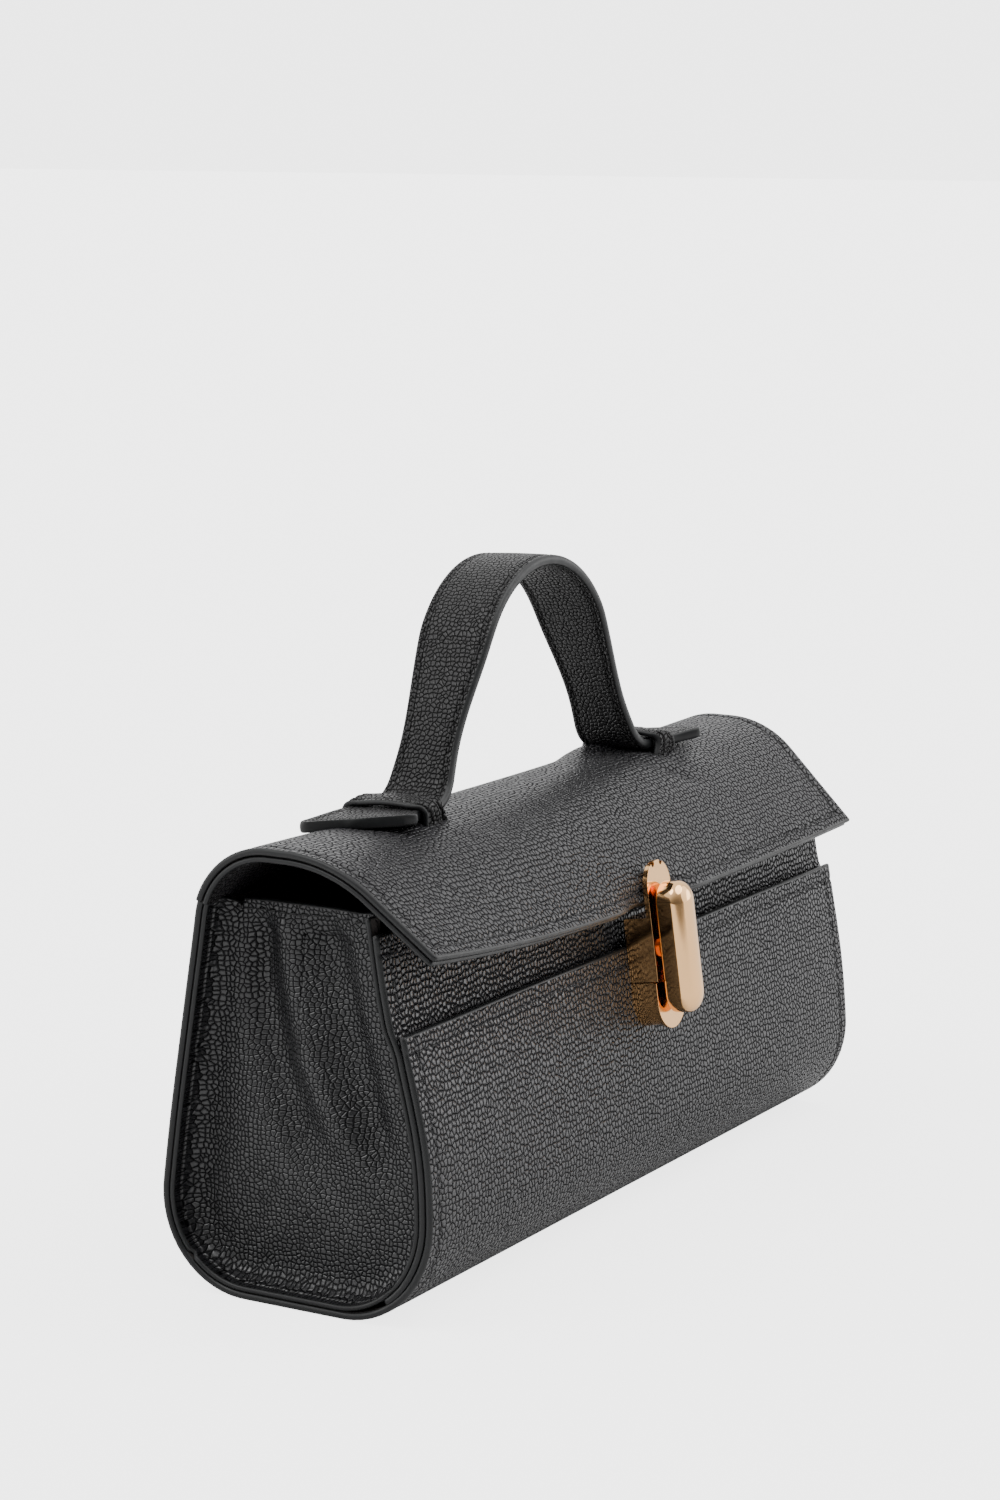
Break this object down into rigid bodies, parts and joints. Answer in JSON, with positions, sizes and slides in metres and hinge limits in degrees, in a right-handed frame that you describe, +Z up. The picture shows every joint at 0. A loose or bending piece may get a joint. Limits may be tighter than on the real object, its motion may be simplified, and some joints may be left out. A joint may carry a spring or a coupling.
{
  "type": "flap handbag",
  "caption": "Structured leather flap bag: arched top handle that slides through two loops, hinged flap, slip pocket and a slide lock.",
  "frame": {"origin": "middle of the flat underside of the base, on the ground", "axes": "+X along the bag to its right end, -Y out of the front with the lock, +Z up"},
  "size_m": [0.264, 0.0964, 0.1926],
  "materials": {
    "leather": "pebble grained, semi-matt",
    "gusset_leather": "pebble grained, soft",
    "flap_lining_leather": "smooth",
    "strap_leather": "grained, painted edges",
    "lining": "soft lining leather",
    "board": "raw bonded leather fibre board",
    "gold": "polished, light gold plated",
    "steel": "plain"
  },
  "bodies": {
    "bag_body": {"body_wrap": "leather", "front_panel": "leather", "gusset_left": "gusset_leather", "gusset_right": "gusset_leather", "back_board": "board", "base_board": "board", "front_board": "board", "back_lining": "lining", "base_lining": "lining", "front_lining": "lining", "gusset_lining_left": "lining", "gusset_lining_right": "lining", "pocket_lining": "lining", "inner_pocket": "lining", "lock_case": "gold", "lock_case_plate": "steel", "lock_case_screws": "steel"},
    "flap": {"flap_leather": "leather", "flap_board": "board", "flap_lining": "flap_lining_leather", "handle_loop_left": "leather", "handle_loop_right": "leather", "loop_backing_left": "lining", "loop_backing_right": "lining", "lock_flap_plate": "gold", "lock_back_cover": "gold", "lock_clamp_plate": "steel", "lock_clamp_screws": "steel", "lock_spring": "steel"},
    "lock_slide": {"lock_slide": "gold", "lock_bolt": "steel", "lock_slide_screws": "steel"},
    "handle": {"handle_top": "strap_leather", "handle_top_lining": "strap_leather", "handle_leg_left": "strap_leather", "handle_leg_right": "strap_leather", "handle_leg_lining_left": "strap_leather", "handle_leg_lining_right": "strap_leather"},
    "handle_end_left": {"handle_end_left": "strap_leather", "handle_end_lining_left": "strap_leather"},
    "handle_end_right": {"handle_end_right": "strap_leather", "handle_end_lining_right": "strap_leather"}
  },
  "joints": [
    {"name": "flap_hinge", "type": "hinge", "parent": "bag_body", "child": "flap", "pos_m": [0, 0.03, 0.109], "axis": [-1, 0, 0], "range_deg": [0, 105]},
    {"name": "lock_travel", "type": "slide", "parent": "flap", "child": "lock_slide", "axis": [0, -0.1416, -0.9899], "range_m": [0, 0.003]},
    {"name": "handle_sink", "type": "slide", "parent": "flap", "child": "handle", "axis": [0, 0, -1], "range_m": [0, 0.022], "deforming": ["handle_leg_left", "handle_leg_right", "handle_leg_lining_left", "handle_leg_lining_right"]},
    {"name": "left_end_slide", "type": "slide", "parent": "flap", "child": "handle_end_left", "axis": [-1, 0, 0], "range_m": [0, 0.0143]},
    {"name": "right_end_slide", "type": "slide", "parent": "flap", "child": "handle_end_right", "axis": [1, 0, 0], "range_m": [0, 0.0143]}
  ],
  "couplings": [
    {"joint": "left_end_slide", "follows": "handle_sink", "ratio": 0.65},
    {"joint": "right_end_slide", "follows": "handle_sink", "ratio": 0.65}
  ]
}
